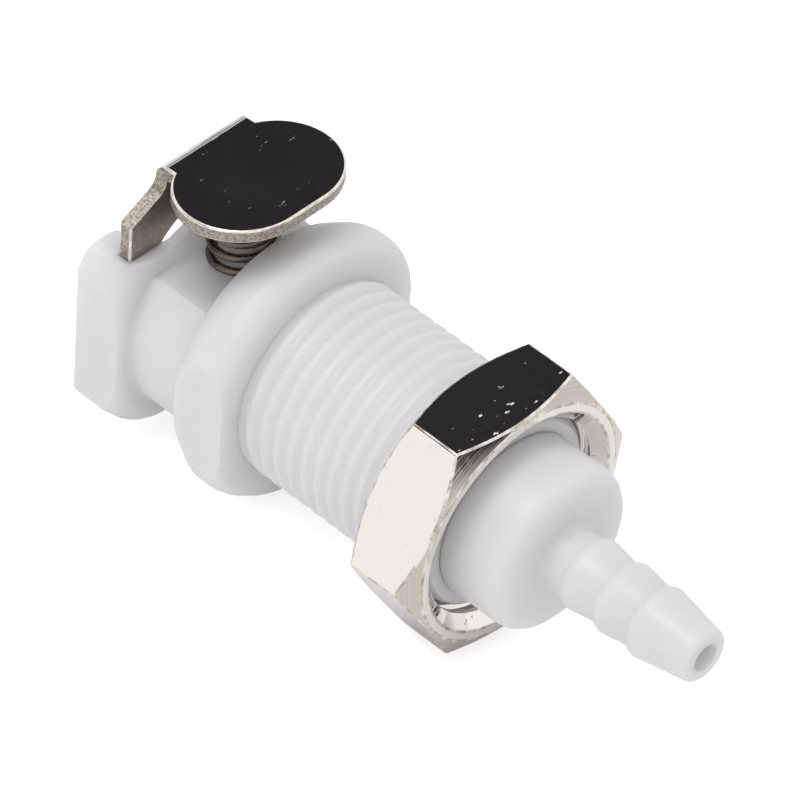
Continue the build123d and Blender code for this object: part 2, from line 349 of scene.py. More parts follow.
@dataclass(frozen=True)
class MouldedAcetal(Finish):
    """Natural acetal, injection moulded: milky white, slightly see-through, with a satin skin.

    A fine grain of the tool and slow waves of shrinkage break the highlights. The grain is drawn
    coarser than the tool's own, so that it shows.
    """

    wave_tone: str = "#e4e4e4"
    grain_mm: float = 0.12
    grain_depth_mm: float = 0.01
    waves_mm: float = 3.0
    wave_depth_mm: float = 0.12
    roughness_swing: float = 0.06
    scatter_weight: float = 0.8
    scatter_mm: float = 2.0
    scatter_tint: Vec3 = (1.0, 0.97, 0.93)
    ior: float = 1.48

    def make(self) -> bpy.types.Material:
        """Satin skin over a scattering white body.

        Returns:
            The finished material.
        """
        material, tree, shader = self.start()
        shader.inputs["Subsurface Weight"].default_value = self.scatter_weight
        shader.inputs["Subsurface Radius"].default_value = self.scatter_tint
        shader.inputs["Subsurface Scale"].default_value = self.scatter_mm * MM
        shader.inputs["IOR"].default_value = self.ior
        place = add(tree, "ShaderNodeTexCoord")
        waves = add(tree, "ShaderNodeTexNoise", {
            "Scale": 1 / (self.waves_mm * MM), "Detail": 2.0, "Roughness": 0.5},
            Vector=place.outputs["Object"])
        grain = add(tree, "ShaderNodeTexNoise", {
            "Scale": 1 / (self.grain_mm * MM), "Detail": 3.0, "Roughness": 0.6},
            Vector=place.outputs["Object"])
        tint = add(tree, "ShaderNodeMix", {
            "data_type": "RGBA", 6: linear(self.base), 7: linear(self.wave_tone)},
            Factor=waves.outputs["Fac"])
        tree.links.new(tint.outputs[2], shader.inputs["Base Color"])
        skin = add(tree, "ShaderNodeMapRange", {
            "From Min": 0.3, "From Max": 0.7, "To Min": self.roughness - self.roughness_swing,
            "To Max": self.roughness + self.roughness_swing}, Value=waves.outputs["Fac"])
        tree.links.new(skin.outputs["Result"], shader.inputs["Roughness"])
        fine = add(tree, "ShaderNodeBump", {
            "Strength": 0.12, "Distance": self.grain_depth_mm * MM}, Height=grain.outputs["Fac"])
        slow = add(tree, "ShaderNodeBump", {
            "Strength": 0.15, "Distance": self.wave_depth_mm * MM},
            Height=waves.outputs["Fac"], Normal=fine.outputs["Normal"])
        tree.links.new(slow.outputs["Normal"], shader.inputs["Normal"])
        return material


@dataclass(frozen=True)
class NickelPlate(Finish):
    """Bright nickel over turned brass: a near-neutral mirror with nicks and handling marks.

    The nicks are short flecks about 0.3 mm long that have lost their shine. They lie thicker in
    some patches than in others.
    """

    fleck_mm: float = 0.32
    fleck_stretch: float = 0.35
    fleck_lean: Vec3 = (0.4, 0.9, 0.3)
    fleck_from: float = 0.81
    fleck_full: float = 0.84
    fleck_roughness: float = 0.6
    fleck_depth_mm: float = 0.04
    patch_mm: float = 2.6
    patch_share: float = 0.22
    wave_depth_mm: float = 0.05

    def make(self) -> bpy.types.Material:
        """A mirror with scattered flecks, in patches, and slow waves.

        Returns:
            The finished material.
        """
        material, tree, shader = self.start()
        place = add(tree, "ShaderNodeTexCoord")
        lean = add(tree, "ShaderNodeMapping", {
            "Rotation": self.fleck_lean, "Scale": (1.0, self.fleck_stretch, 1.0)},
            Vector=place.outputs["Object"])
        flecks = add(tree, "ShaderNodeTexNoise", {
            "Scale": 1 / (self.fleck_mm * MM), "Detail": 2.0, "Roughness": 0.7},
            Vector=lean.outputs["Vector"])
        patches = add(tree, "ShaderNodeTexNoise", {
            "Scale": 1 / (self.patch_mm * MM), "Detail": 2.0, "Roughness": 0.5},
            Vector=place.outputs["Object"])
        lifted = add(tree, "ShaderNodeMath", {
            "operation": "MULTIPLY_ADD", 0: patches.outputs["Fac"], 1: self.patch_share,
            2: flecks.outputs["Fac"]})
        nicks = add(tree, "ShaderNodeMapRange", {
            "From Min": self.fleck_from, "From Max": self.fleck_full, "To Min": 0.0,
            "To Max": 1.0}, Value=lifted.outputs[0])
        rough = add(tree, "ShaderNodeMapRange", {
            "From Min": 0.0, "From Max": 1.0, "To Min": self.roughness,
            "To Max": self.fleck_roughness}, Value=nicks.outputs["Result"])
        tree.links.new(rough.outputs["Result"], shader.inputs["Roughness"])
        dents = add(tree, "ShaderNodeBump", {
            "Strength": 1.0, "Distance": self.fleck_depth_mm * MM, "invert": True},
            Height=nicks.outputs["Result"])
        waves = add(tree, "ShaderNodeBump", {
            "Strength": 0.06, "Distance": self.wave_depth_mm * MM},
            Height=patches.outputs["Fac"], Normal=dents.outputs["Normal"])
        tree.links.new(waves.outputs["Normal"], shader.inputs["Normal"])
        return material


@dataclass(frozen=True)
class TurnedChamfer(Finish):
    """Nickel over a chamfer left by the lathe: fine rings of tool marks, grey between shines.

    The rings' spacing is about the feed of a lathe. The dashes are coarser than real tearing, so
    that they show.
    """

    light: str = "#e3dbd1"
    ring_mm: float = 0.06
    ring_depth_mm: float = 0.02
    dash_mm: float = 0.5
    dash_shift: float = 0.9

    def make(self) -> bpy.types.Material:
        """Streaks that run round the flow axis, broken into short dashes.

        Returns:
            The finished material.
        """
        material, tree, shader = self.start()
        place = add(tree, "ShaderNodeTexCoord")
        parts = add(tree, "ShaderNodeSeparateXYZ", Vector=place.outputs["Object"])
        dashes = add(tree, "ShaderNodeTexNoise", {
            "Scale": 1 / (self.dash_mm * MM), "Detail": 3.0, "Roughness": 0.7},
            Vector=place.outputs["Object"])
        along = add(tree, "ShaderNodeMath", {
            "operation": "MULTIPLY", 0: parts.outputs["X"], 1: 1 / (self.ring_mm * MM)})
        warped = add(tree, "ShaderNodeMath", {
            "operation": "MULTIPLY_ADD", 0: dashes.outputs["Fac"], 1: self.dash_shift,
            2: along.outputs[0]})
        rings = add(tree, "ShaderNodeTexNoise", {
            "noise_dimensions": "1D", "Scale": 1.0, "Detail": 3.0, "Roughness": 0.7},
            W=warped.outputs[0])
        tone = add(tree, "ShaderNodeMix", {
            "data_type": "RGBA", 6: linear(self.base), 7: linear(self.light)},
            Factor=rings.outputs["Fac"])
        tree.links.new(tone.outputs[2], shader.inputs["Base Color"])
        marks = add(tree, "ShaderNodeBump", {
            "Strength": 0.3, "Distance": self.ring_depth_mm * MM}, Height=rings.outputs["Fac"])
        tree.links.new(marks.outputs["Normal"], shader.inputs["Normal"])
        return material


@dataclass(frozen=True)
class PolishedSheet(Finish):
    """Polished stainless sheet: a clear mirror with sparse scratches and a thin film.

    The scratches are drawn coarser than real handling marks, so that they show.
    """

    scratch_mm: float = 0.24
    scratch_lean: float = 24.0
    scratch_stretch: float = 0.16
    scratch_from: float = 0.685
    scratch_full: float = 0.75
    scratch_roughness: float = 0.3
    scratch_depth_mm: float = 0.02
    film_mm: float = 3.5
    film_clear: float = 0.02
    film_dull: float = 0.05

    def make(self) -> bpy.types.Material:
        """A mirror with sparse scratches that lean across the pad.

        Returns:
            The finished material.
        """
        material, tree, shader = self.start()
        place = add(tree, "ShaderNodeTexCoord")
        turn = add(tree, "ShaderNodeMapping", {
            "Rotation": (0.0, 0.0, math.radians(self.scratch_lean)),
            "Scale": (1.0, self.scratch_stretch, 1.0)},
            Vector=place.outputs["Object"])
        lines = add(tree, "ShaderNodeTexNoise", {
            "Scale": 1 / (self.scratch_mm * MM), "Detail": 4.0, "Roughness": 0.75},
            Vector=turn.outputs["Vector"])
        marks = add(tree, "ShaderNodeMapRange", {
            "From Min": self.scratch_from, "From Max": self.scratch_full, "To Min": 0.0,
            "To Max": 1.0}, Value=lines.outputs["Fac"])
        cloud = add(tree, "ShaderNodeTexNoise", {
            "Scale": 1 / (self.film_mm * MM), "Detail": 3.0, "Roughness": 0.6},
            Vector=place.outputs["Object"])
        film = add(tree, "ShaderNodeMapRange", {
            "From Min": 0.35, "From Max": 0.7, "To Min": self.roughness - self.film_clear,
            "To Max": self.roughness + self.film_dull}, Value=cloud.outputs["Fac"])
        rough = add(tree, "ShaderNodeMath", {
            "operation": "MULTIPLY_ADD", 0: marks.outputs["Result"], 1: self.scratch_roughness,
            2: film.outputs["Result"]})
        tree.links.new(rough.outputs[0], shader.inputs["Roughness"])
        cut = add(tree, "ShaderNodeBump", {
            "Strength": 0.6, "Distance": self.scratch_depth_mm * MM, "invert": True},
            Height=marks.outputs["Result"])
        tree.links.new(cut.outputs["Normal"], shader.inputs["Normal"])
        return material


@dataclass(frozen=True)
class GrainyMetal(Finish):
    """Sheet or bar metal with a mottled skin: tumbled faces and sheared edges.

    The tone changes from grain to grain, and the grain also breaks the shine. The grain is drawn
    coarser than the real one, so that it shows.
    """

    light: str = "#cfc7bd"
    grain_mm: float = 0.12
    relief: float = 0.3
    relief_mm: float = 0.03

    def make(self) -> bpy.types.Material:
        """Two tones mixed by a fine noise, which also lifts the surface.

        Returns:
            The finished material.
        """
        material, tree, shader = self.start()
        place = add(tree, "ShaderNodeTexCoord")
        grain = add(tree, "ShaderNodeTexNoise", {
            "Scale": 1 / (self.grain_mm * MM), "Detail": 3.0, "Roughness": 0.7},
            Vector=place.outputs["Object"])
        share = add(tree, "ShaderNodeMapRange", {
            "From Min": 0.38, "From Max": 0.62, "To Min": 0.0, "To Max": 1.0},
            Value=grain.outputs["Fac"])
        tone = add(tree, "ShaderNodeMix", {
            "data_type": "RGBA", 6: linear(self.base), 7: linear(self.light)},
            Factor=share.outputs["Result"])
        tree.links.new(tone.outputs[2], shader.inputs["Base Color"])
        lift = add(tree, "ShaderNodeBump", {
            "Strength": self.relief, "Distance": self.relief_mm * MM},
            Height=grain.outputs["Fac"])
        tree.links.new(lift.outputs["Normal"], shader.inputs["Normal"])
        return material


@dataclass(frozen=True)
class DrawnWire(Finish):
    """Drawn or ground steel: an even satin metal whose shine changes a little along it.

    The mottling is drawn coarser than the real one, so that it shows.
    """

    mottle_mm: float = 0.25
    mottle_clear: float = 0.08
    mottle_dull: float = 0.12

    def make(self) -> bpy.types.Material:
        """Steel whose roughness follows a fine noise.

        Returns:
            The finished material.
        """
        material, tree, shader = self.start()
        place = add(tree, "ShaderNodeTexCoord")
        mottle = add(tree, "ShaderNodeTexNoise", {
            "Scale": 1 / (self.mottle_mm * MM), "Detail": 3.0, "Roughness": 0.6},
            Vector=place.outputs["Object"])
        rough = add(tree, "ShaderNodeMapRange", {
            "From Min": 0.3, "From Max": 0.7, "To Min": self.roughness - self.mottle_clear,
            "To Max": self.roughness + self.mottle_dull}, Value=mottle.outputs["Fac"])
        tree.links.new(rough.outputs["Result"], shader.inputs["Roughness"])
        return material


@dataclass(frozen=True)
class SealRubber(Finish):
    """Moulded nitrile rubber: plain soft black with a dull skin."""


# Milky white with a satin skin, for both moulded pieces and the poppet.
ACETAL = MouldedAcetal("acetal_moulded_natural", "#ebebeb", 0.42)
# Near-neutral mirror with dull flecks, on the nut's flats.
NICKEL = NickelPlate("brass_bright_nickel_plated", "#f0ebe5", 0.06, 1.0)
# Streaky grey shine, on the nut's corner chamfers.
CHAMFER = TurnedChamfer("brass_turned_chamfer_nickel_plated", "#beb5aa", 0.11, 1.0)
# Bright worn line with soft darker spots, along the nut's corners.
NUT_EDGE = GrainyMetal("nickel_plate_worn_edge", "#b5aca1", 0.14, 1.0, light="#f3eee7",
                       grain_mm=0.9, relief=0.08)
# Clear mirror, on top of the pad and round the bend.
SHEET = PolishedSheet("stainless_sheet_polished", "#dedadc", 0.07, 1.0)
# Dull even grey, on the plate's faces and under the pad.
SHEET_FACE = GrainyMetal("stainless_sheet_tumbled", "#a1978e", 0.36, 1.0, light="#b2a89f",
                         grain_mm=0.3, relief=0.1)
# Dark and light grains where the shear tore the sheet.
SHEET_EDGE = GrainyMetal("stainless_sheet_sheared_edge", "#81786e", 0.4, 1.0, light="#c2bab0",
                         grain_mm=0.13, relief=0.5)
# Rounded outlines where blanking rolled the sheet's edge over, in a brighter cream tone than the
# sheet: a painted highlight.
SHEET_RIM_HIGHLIGHT = GrainyMetal("stainless_sheet_rolled_rim_painted_highlight", "#ddd5c8", 0.14, 1.0, light="#f7f1e6",
                        grain_mm=0.4, relief=0.15)
# Dark satin wire.
WIRE = DrawnWire("spring_wire_drawn", "#6e655d", 0.24, 1.0)
# Light satin steel.
PIN = DrawnWire("pin_steel_ground", "#c9c6c2", 0.22, 1.0)
# Dull black.
RUBBER = SealRubber("nitrile_seal_moulded", "#1d1d1e", 0.55)


def paint(obj: bpy.types.Object, materials: Sequence[bpy.types.Material],
          pick: Callable[[bpy.types.MeshPolygon], int]) -> None:
    """Gives an object several materials and each face one of them.

    Args:
        obj: the object.
        materials: in slot order.
        pick: the slot of a face.
    """
    obj.data.materials.clear()
    for material in materials:
        obj.data.materials.append(material)
    slots = np.array([pick(face) for face in obj.data.polygons], dtype=np.int32)
    obj.data.polygons.foreach_set("material_index", slots)


def dress(obj: bpy.types.Object, material: bpy.types.Material) -> None:
    """Gives every slot of an object one material, on its mesh and on the object itself.

    Args:
        obj: the object, which gets a slot where it has none.
        material: for all of its faces.
    """
    if not obj.data.materials:
        obj.data.materials.append(material)
    for i in range(len(obj.data.materials)):
        obj.data.materials[i] = material
    for slot in obj.material_slots:
        slot.material = material


# ------------------------------------------------------------------------------ sub-assemblies

@dataclass
class ScrewThread:
    """A single-start right-hand screw thread with rounded crests, in millimetres."""

    crest: float = 6.35
    depth: float = 0.2
    pitch: float = 1.07
    phase: float = 0.42
    sharpness: float = 0.9

    def radius(self, x: np.ndarray, turn: np.ndarray) -> np.ndarray:
        """Radius of the thread's surface.

        The height is a cosine of the position counted in pitches, less one turn for each turn
        about the axis, pressed flat at crest and root by a hyperbolic tangent.

        Args:
            x: place along the axis.
            turn: angle about the axis from +Y towards +Z, in radians.

        Returns:
            Radii, from crest - depth to crest.
        """
        wave = np.cos(2 * np.pi * (x / self.pitch - self.phase) - turn)
        flat = np.tanh(self.sharpness * wave) / math.tanh(self.sharpness)
        return self.crest - self.depth * (0.5 - 0.5 * flat)


@dataclass
class MouldedBody:
    """The moulded coupling body: the CAD form with a screw thread for its plain shank.

    Lengths are in millimetres.
    """

    shank_length: float = 15.0
    shank_chamfer: float = 0.4
    least_face: float = 0.1
    root_fade: float = 0.35
    cone_gap: float = 0.01
    columns: int = 160
    rows_per_pitch: int = 14
    thread: ScrewThread = field(default_factory=ScrewThread)

    def thread_sleeve(self) -> Tuple[np.ndarray, np.ndarray]:
        """Surface of the threaded shank.

        Rings stand along the axis. Each ring's radius is the thread's, faded to the root at the
        flange by 3 t^2 - 2 t^3, where t runs from 0 to 1 over the fade, and limited by the end
        chamfer's cone, whose radius falls by as much as the place goes on.

        Returns:
            Points of shape (rows * columns, 3) and quads.
        """
        rows = int(self.shank_length / self.thread.pitch * self.rows_per_pitch)
        x = np.linspace(0.0, self.shank_length, rows)
        a = np.linspace(0.0, 2 * np.pi, self.columns, endpoint=False)
        xx, aa = np.meshgrid(x, a, indexing="ij")
        root = self.thread.crest - self.thread.depth
        t = np.clip(xx / self.root_fade, 0.0, 1.0)
        r = root + (self.thread.radius(xx, aa) - root) * (t ** 2 * (3 - 2 * t))
        cone = self.thread.crest - self.shank_chamfer - self.cone_gap + (self.shank_length - xx)
        r = np.minimum(r, cone)
        points = np.stack([xx, r * np.cos(aa), r * np.sin(aa)], -1).reshape(-1, 3)
        return points, grid_faces(rows, self.columns)

    def is_plain_shank(self, face: bmesh.types.BMFace) -> bool:
        """Tells whether a face is on the outside of the plain shank or on its end chamfer.

        Args:
            face: of the welded copy.

        Returns:
            True where the sleeve takes the face's place.
        """
        radii = [math.hypot(v.co.y, v.co.z) for v in face.verts]
        xs = [v.co.x for v in face.verts]
        crest = self.thread.crest * MM
        return (max(xs) - min(xs) > self.least_face * MM and min(xs) > -NEAR
                and min(radii) > crest - (self.shank_chamfer + 2 * self.cone_gap) * MM
                and max(radii) < crest + NEAR)

    def build(self, node: bpy.types.Object) -> bpy.types.Object:
        """Cuts the plain shank off a welded copy and joins the threaded sleeve to it.

        Args:
            node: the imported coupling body.

        Returns:
            The closed piece.
        """
        bm = merged_copy(node)
        plain = [face for face in bm.faces if self.is_plain_shank(face)]
        bmesh.ops.delete(bm, geom=plain, context="FACES")
        points, quads = self.thread_sleeve()
        join_sleeve(bm, points, quads, (0.0, self.shank_length * MM))
        piece = to_object(bm, "body_threaded")
        smooth(piece)
        dress(piece, ACETAL.make())
        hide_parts("coupling_body")
        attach(piece, Body.BODY.value)
        return piece


@dataclass
class PanelNut:
    """The plated panel nut: its CAD form with a threaded bore.

    Lengths are in millimetres and the bend in degrees. The chamfer's lean is the least and the
    most of its normal that may point along the axis.
    """

    bore: float = 6.4
    bore_lift: float = 0.005
    end_fade: float = 0.3
    rim_round: float = 0.1
    rim_from: float = 7.0
    rim_bend: float = 20.0
    rim_facets: int = 4
    chamfer_from: float = 7.7
    chamfer_lean: Tuple[float, float] = (0.8, 0.95)
    thread: ScrewThread = field(default_factory=lambda: ScrewThread(
        crest=6.78, depth=0.4, phase=0.95, sharpness=1.6))
    columns: int = 144
    rows_per_pitch: int = 14

    def bore_sleeve(self, start: float, end: float) -> Tuple[np.ndarray, np.ndarray]:
        """Surface of the threaded bore.

        Rings stand along the axis between the two countersinks. The radius is the thread's,
        faded evenly to the bore's own radius at each end.

        Args:
            start: place of the first ring.
            end: place of the last ring.

        Returns:
            Points and quads, wound to face the axis.
        """
        rows = int((end - start) / self.thread.pitch * self.rows_per_pitch)
        x = np.linspace(start, end, rows)
        a = np.linspace(0.0, 2 * np.pi, self.columns, endpoint=False)
        xx, aa = np.meshgrid(x, a, indexing="ij")
        near = np.clip(np.minimum(xx - start, end - xx) / self.end_fade, 0.0, 1.0)
        r = self.bore + self.bore_lift + (self.thread.radius(xx, aa) - self.bore) * near
        points = np.stack([xx, r * np.cos(aa), r * np.sin(aa)], -1).reshape(-1, 3)
        return points, grid_faces(rows, self.columns)[:, ::-1]

    def is_rim(self, edge: bmesh.types.BMEdge) -> bool:
        """Tells whether an edge is an outer corner of the hexagon, which wear has softened.

        Args:
            edge: of the nut's mesh.

        Returns:
            True for a sharp edge outside the countersink.
        """
        return (edge.calc_face_angle() > math.radians(self.rim_bend)
                and min(v.co.yz.length for v in edge.verts) > self.rim_from * MM)

    def finish_of(self, face: bpy.types.MeshPolygon) -> int:
        """The slot of a face: turned on the corner chamfers, which lean a little off the axis,
        and bright plate elsewhere.

        Args:
            face: of the nut's mesh.

        Returns:
            Slot number.
        """
        low, high = self.chamfer_lean
        leans = low < abs(face.normal.x) < high
        outer = face.center.yz.length > self.chamfer_from * MM
        return int(NutSlot.CHAMFER if leans and outer else NutSlot.PLATE)

    def build(self, node: bpy.types.Object) -> bpy.types.Object:
        """Cuts the plain bore out of a welded copy and joins the threaded one to it.

        Args:
            node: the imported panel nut.

        Returns:
            The closed piece.
        """
        bm = merged_copy(node)
        limit = (self.bore + 2 * self.bore_lift) * MM
        plain = [f for f in bm.faces
                 if max(math.hypot(v.co.y, v.co.z) for v in f.verts) < limit]
        xs = [v.co.x for f in plain for v in f.verts]
        start, end = min(xs), max(xs)
        bmesh.ops.delete(bm, geom=plain, context="FACES")
        join_flats(bm)
        points, quads = self.bore_sleeve(start / MM, end / MM)
        join_sleeve(bm, points, quads, (start, end))
        piece = to_object(bm, "nut_threaded")
        smooth(piece)
        rounding = round_edges(piece, self.rim_round, self.rim_facets, self.is_rim)
        rounding.material = int(NutSlot.RIM)
        paint(piece, [NICKEL.make(), CHAMFER.make(), NUT_EDGE.make()], self.finish_of)
        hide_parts("panel_nut")
        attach(piece, Body.NUT.value)
        return piece


@dataclass
class ThumbLatch:
    """The folded sheet latch with the rolled edge that blanking leaves on it.

    Lengths are in millimetres. The other numbers are shares of a face's normal along an axis: a
    flat has at least its share, and a side at most its own.
    """

    edge_round: float = 0.13
    edge_facets: int = 3
    pad_from: float = 9.5
    bend_reach: float = 1.0
    flat: float = 0.95
    side: float = 0.3
    plate: float = 0.9
    pad_front: float = 0.5
    side_turn: float = 0.1

    def finish_of(self, face: bpy.types.MeshPolygon) -> int:
        """The slot of a face: polished on top of the pad and round the bend, tumbled on the
        sheet's other faces, and sheared on its edges.

        Args:
            face: of the latch's mesh.

        Returns:
            Slot number.
        """
        normal = face.normal
        if abs(normal.y) > self.side_turn:
            return int(LatchSlot.SHEARED)
        if face.center.z > self.pad_from * MM:
            if normal.x > self.pad_front and abs(normal.z) < self.side:
                return int(LatchSlot.SHEARED)
            top = normal.z > 0.0 or normal.x < 0.0
            return int(LatchSlot.POLISHED if top else LatchSlot.TUMBLED)
        return int(LatchSlot.TUMBLED if abs(normal.x) > self.plate else LatchSlot.SHEARED)

    def is_outline(self, edge: bmesh.types.BMEdge) -> bool:
        """Tells whether an edge lies between a flat of the sheet and its sheared side.

        Args:
            edge: of the latch's mesh.

        Returns:
            True for the outlines of the pad and of the plate.
        """
        a, b = (face.normal for face in edge.link_faces)
        if min(v.co.z for v in edge.verts) > (self.pad_from + self.bend_reach) * MM:
            side, flat = sorted((abs(a.z), abs(b.z)))
        elif max(v.co.z for v in edge.verts) < (self.pad_from - self.bend_reach) * MM:
            side, flat = sorted((abs(a.x), abs(b.x)))
        else:
            return False
        return flat > self.flat and side < self.side

    def build(self, node: bpy.types.Object) -> bpy.types.Object:
        """Rounds the edges of a welded copy.

        Args:
            node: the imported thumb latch.

        Returns:
            The piece.
        """
        bm = merged_copy(node)
        join_flats(bm)
        piece = to_object(bm, "latch_folded")
        smooth(piece)
        rounding = round_edges(piece, self.edge_round, self.edge_facets, self.is_outline)
        # the rounded outlines take the rim's brighter cream tone, a painted highlight
        rounding.material = int(LatchSlot.RIM)
        paint(piece, [SHEET.make(), SHEET_FACE.make(), SHEET_EDGE.make(), SHEET_RIM_HIGHLIGHT.make()],
              self.finish_of)
        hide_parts("thumb_latch")
        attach(piece, Body.LATCH.value)
        return piece


@dataclass
class WireSpring:
    """A compression spring of round wire between two bodies, in millimetres.

    The wire is given by its radius, the start angle in radians and the crease in degrees.
    """

    name: str
    node: str
    start: Vec3
    axis: Vec3
    length: float
    mean_radius: float
    wire: float
    turns: float
    start_angle: float = 0.0
    facets: int = 12
    steps_per_turn: int = 36
    crease: float = 50.0

    def surface(self) -> Tuple[np.ndarray, np.ndarray]:
        """Tube swept along the coil, closed at both ends.

        The centre line is a circle of the mean radius whose height rises evenly with the angle,
        from one wire radius above the seat to one below the far end. The tube's rings stand on
        it with the wire's radius, in the plane of the radial direction and the binormal. Each cap
        is a fan about the centre point of its end ring.

        Returns:
            Points in the part's frame, and faces. A fan's triangles repeat their last point.
        """
        n = int(self.turns * self.steps_per_turn) + 1
        t = np.linspace(0.0, 1.0, n)
        a = self.start_angle + 2 * np.pi * self.turns * t
        rise = self.length - 2 * self.wire
        centre = np.stack([self.mean_radius * np.cos(a), self.mean_radius * np.sin(a),
                           self.wire + rise * t], -1)
        slope = rise / (2 * np.pi * self.turns)
        tangent = np.stack([-self.mean_radius * np.sin(a), self.mean_radius * np.cos(a),
                            np.full(n, slope)], -1)
        tangent /= np.linalg.norm(tangent, axis=1)[:, None]
        outward = np.stack([np.cos(a), np.sin(a), np.zeros(n)], -1)
        upward = np.cross(tangent, outward)
        b = np.linspace(0.0, 2 * np.pi, self.facets, endpoint=False)
        ring = (outward[:, None, :] * np.cos(b)[None, :, None]
                + upward[:, None, :] * np.sin(b)[None, :, None]) * self.wire
        local = (centre[:, None, :] + ring).reshape(-1, 3)
        local = np.vstack([local, centre[:1], centre[-1:]])
        z = np.array(self.axis, float)
        x = np.array((1.0, 0.0, 0.0)) if abs(z[0]) < 0.5 else np.array((0.0, 0.0, -1.0))
        y = np.cross(z, x)
        points = local @ np.stack([x, y, z]) + np.array(self.start)
        quads = grid_faces(n, self.facets)
        k = np.arange(self.facets)
        m = (k + 1) % self.facets
        centres = n * self.facets
        tail = (n - 1) * self.facets
        caps = np.vstack([
            np.stack([np.full(self.facets, centres), m, k, k], -1),
            np.stack([np.full(self.facets, centres + 1), tail + k, tail + m, tail + m], -1)])
        return points, np.vstack([quads, caps])

    def build(self, low: Body, high: Body) -> bpy.types.Object:
        """Makes the spring.

        Args:
            low: not used.
            high: not used.

        Returns:
            The piece.
        """
        points, faces = self.surface()
        mesh = bpy.data.meshes.new(self.name)
        polygons = [list(dict.fromkeys(f)) for f in faces.tolist()]
        mesh.from_pydata((points * MM).tolist(), [], polygons)
        bm = bmesh.new()
        bm.from_mesh(mesh)
        bmesh.ops.recalc_face_normals(bm, faces=bm.faces)
        bm.to_mesh(mesh)
        bm.free()
        piece = bpy.data.objects.new(self.name, mesh)
        bpy.context.scene.collection.objects.link(piece)
        smooth(piece, self.crease)
        dress(piece, WIRE.make())
        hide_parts(self.node)
        start = np.array(self.start) * MM
        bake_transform(piece)
        return piece


@dataclass
class BarbTermination:
    """The moulded end piece with its hose barb, whose ridges have soft moulded crests.

    Lengths are in millimetres and the crease in degrees.
    """

    crest: float = 2.33
    crest_reach: float = 0.03
    crest_round: float = 0.3
    crest_facets: int = 4
    crease: float = 30.0
    first_ridge: float = 20.5

    def is_crest(self, edge: bmesh.types.BMEdge) -> bool:
        """Tells whether an edge runs round the crest of a ridge.

        Args:
            edge: of the termination's mesh.

        Returns:
            True where both ends stand at one place along the barb, at the crest's radius.
        """
        a, b = (v.co for v in edge.verts)
        return abs(a.x - b.x) < NEAR and all(
            abs(p.yz.length - self.crest * MM) < self.crest_reach * MM
            and p.x > self.first_ridge * MM for p in (a, b))

    def build(self, node: bpy.types.Object) -> bpy.types.Object:
        """Rounds the crests of the ridges on a welded copy.

        Args:
            node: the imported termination.

        Returns:
            The piece.
        """
        piece = to_object(merged_copy(node), "termination_moulded")
        smooth(piece, self.crease)
        round_edges(piece, self.crest_round, self.crest_facets, self.is_crest)
        dress(piece, ACETAL.make())
        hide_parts("barb_termination")
        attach(piece, Body.BODY.value)
        return piece


@dataclass
class InnerPieces:
    """The CAD nodes that keep their own meshes: poppet, pin and seal."""

    finishes: Dict[str, Finish] = field(default_factory=lambda: {
        "valve_poppet": ACETAL, "latch_pin": PIN, "valve_seal": RUBBER})

    def build(self, nodes: Dict[str, bpy.types.Object]) -> None:
        """Gives each node its finish.

        Args:
            nodes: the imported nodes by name.
        """
        for name, finish in self.finishes.items():
            dress(nodes[name], finish.make())
            LOG.info("dressed %s as %s", name, finish.name)


# -------------------------------------------------------------------------------- the studio

@dataclass(frozen=True)
class SoftBox:
    """A square area lamp that looks at the coupling, in millimetres and watts."""

    name: str
    direction: Vec3
    distance: float
    size: float
    power: float
    aim_x: float = 5.0

    def build(self) -> None:
        """Makes the lamp. The lens doesn't see it."""
        data = bpy.data.lights.new(self.name, "AREA")
        data.size = self.size * MM
        data.energy = self.power
        lamp = bpy.data.objects.new(self.name, data)
        bpy.context.scene.collection.objects.link(lamp)
        away = Vector(self.direction).normalized()
        lamp.location = away * self.distance * MM + Vector((self.aim_x * MM, 0, 0))
        lamp.rotation_mode = "QUATERNION"
        lamp.rotation_quaternion = away.to_track_quat("Z", "Y")
        lamp.visible_camera = False


@dataclass(frozen=True)
class Card:
    """A matt card whose tone bright metal shows, in millimetres. The lens doesn't see it."""

    name: str
    direction: Vec3
    width: float
    height: float
    colour: str
    distance: float = 400.0
    roughness: float = 0.9

    def build(self) -> None:
        """Makes the card, square to its direction from the coupling."""
        away = Vector(self.direction).normalized()
        x = Vector((0, 0, 1)).cross(away).normalized()
        y = away.cross(x)
        corners = [away * self.distance + x * i * (self.width / 2) + y * j * (self.height / 2)
                   for i, j in ((-1, -1), (1, -1), (1, 1), (-1, 1))]
        card = mesh_object(self.name, np.array([tuple(c) for c in corners]),
                           np.array([[0, 1, 2, 3]]))
        dress(card, Finish(f"{self.name}_cloth", self.colour, self.roughness).make())
        card.visible_camera = False
        card.visible_diffuse = False
        card.visible_shadow = False


